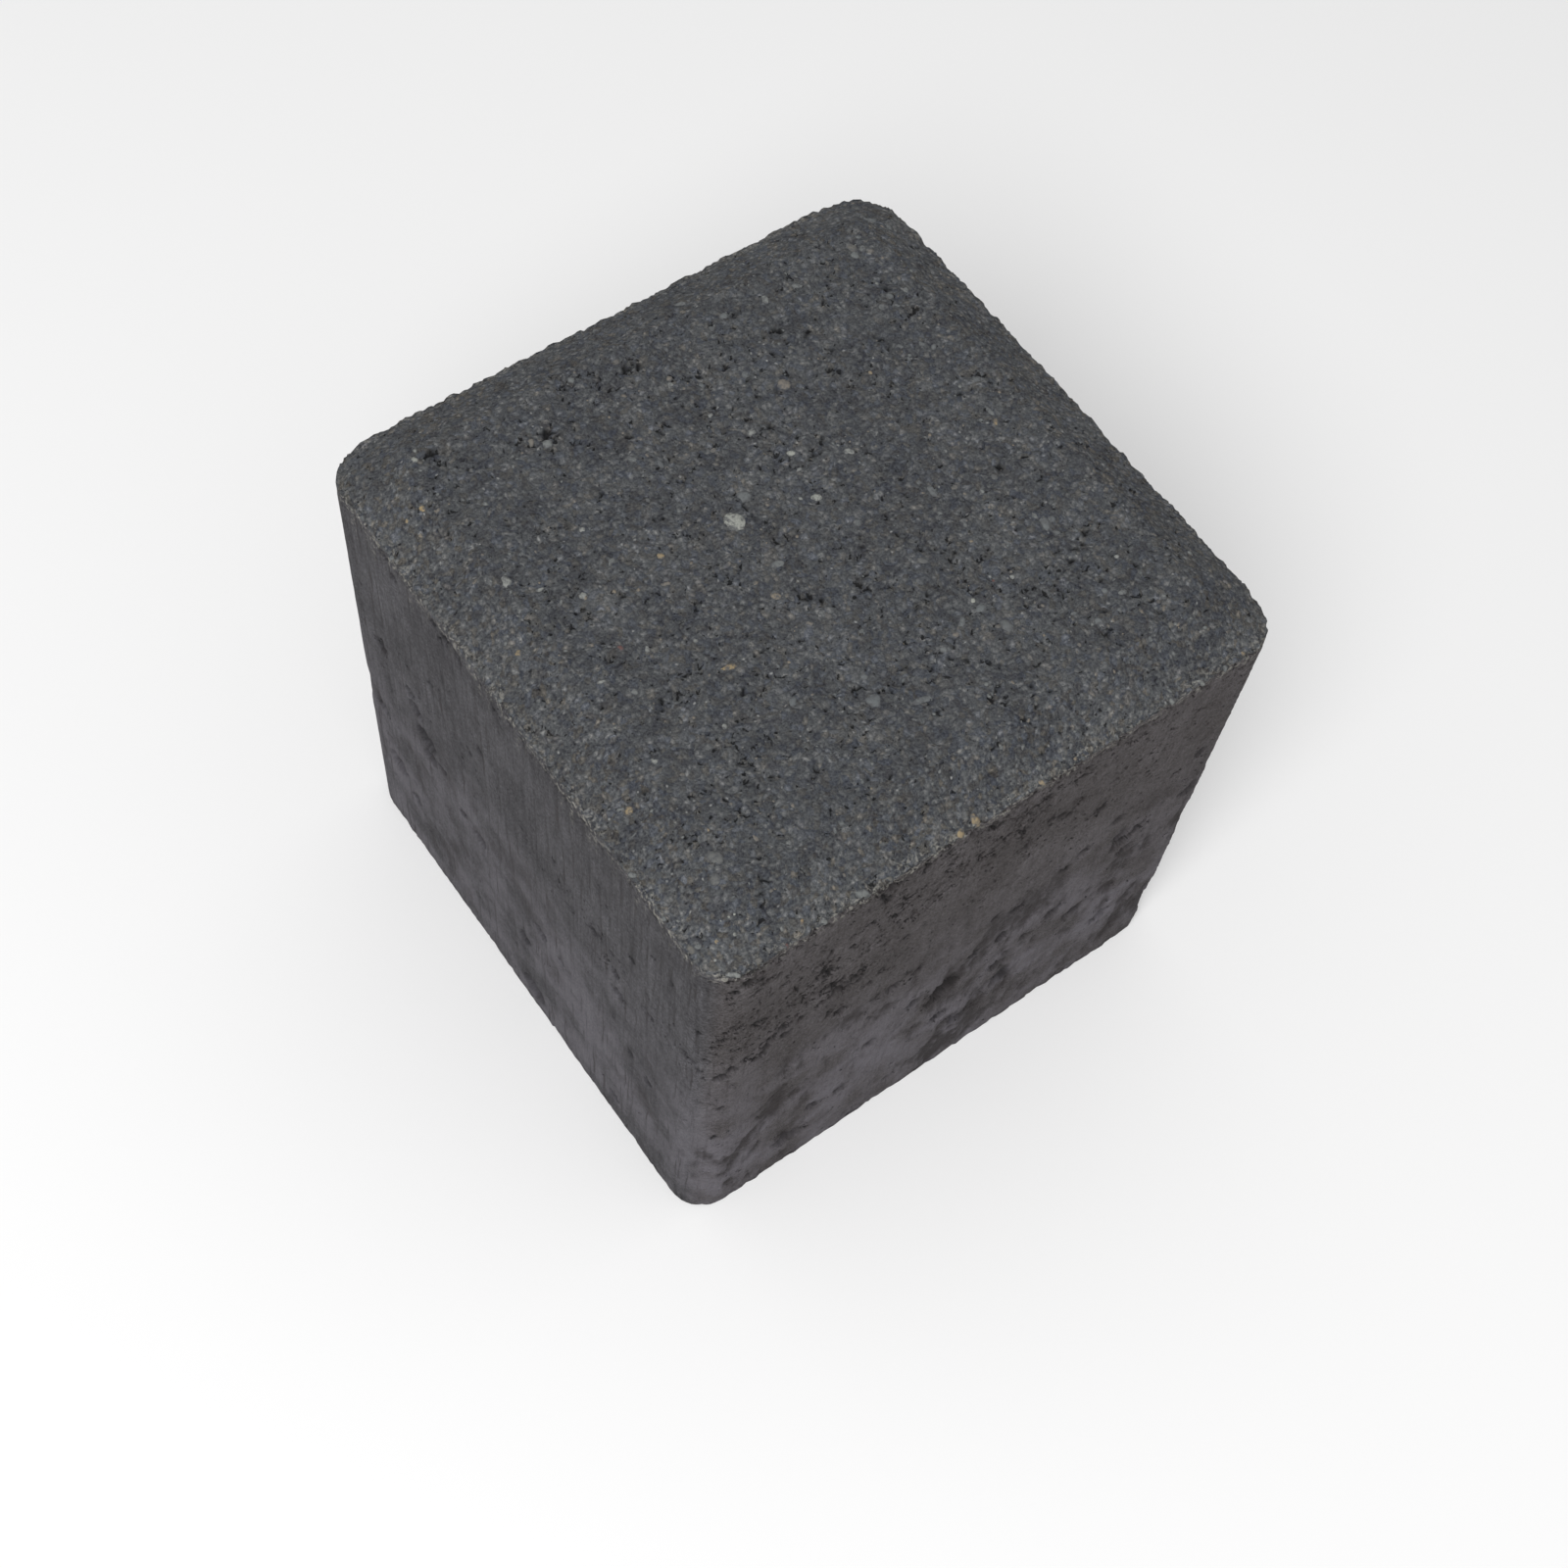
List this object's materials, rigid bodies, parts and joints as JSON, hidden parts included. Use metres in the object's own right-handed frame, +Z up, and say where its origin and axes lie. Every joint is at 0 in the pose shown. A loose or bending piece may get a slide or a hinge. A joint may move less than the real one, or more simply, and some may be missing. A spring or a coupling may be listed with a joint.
{
  "type": "concrete paving sett",
  "caption": "Charcoal pressed-concrete cube sett with rounded upright corners and a wide chamfer round its walking face, laid on a bed of sand to pave paths and drives.",
  "frame": {"origin": "middle of the bed face, which lies on the bedding", "axes": "+Z up from the bed face to the chamfered walking face; X and Y along the sides of the square"},
  "size_m": [0.1, 0.1, 0.1],
  "materials": {
    "concrete": "charcoal-pigmented pressed concrete: granular walking face with pale grains showing, smoother drag-marked sides with pores"
  },
  "bodies": {
    "root": {"paver": "concrete"}
  },
  "joints": []
}
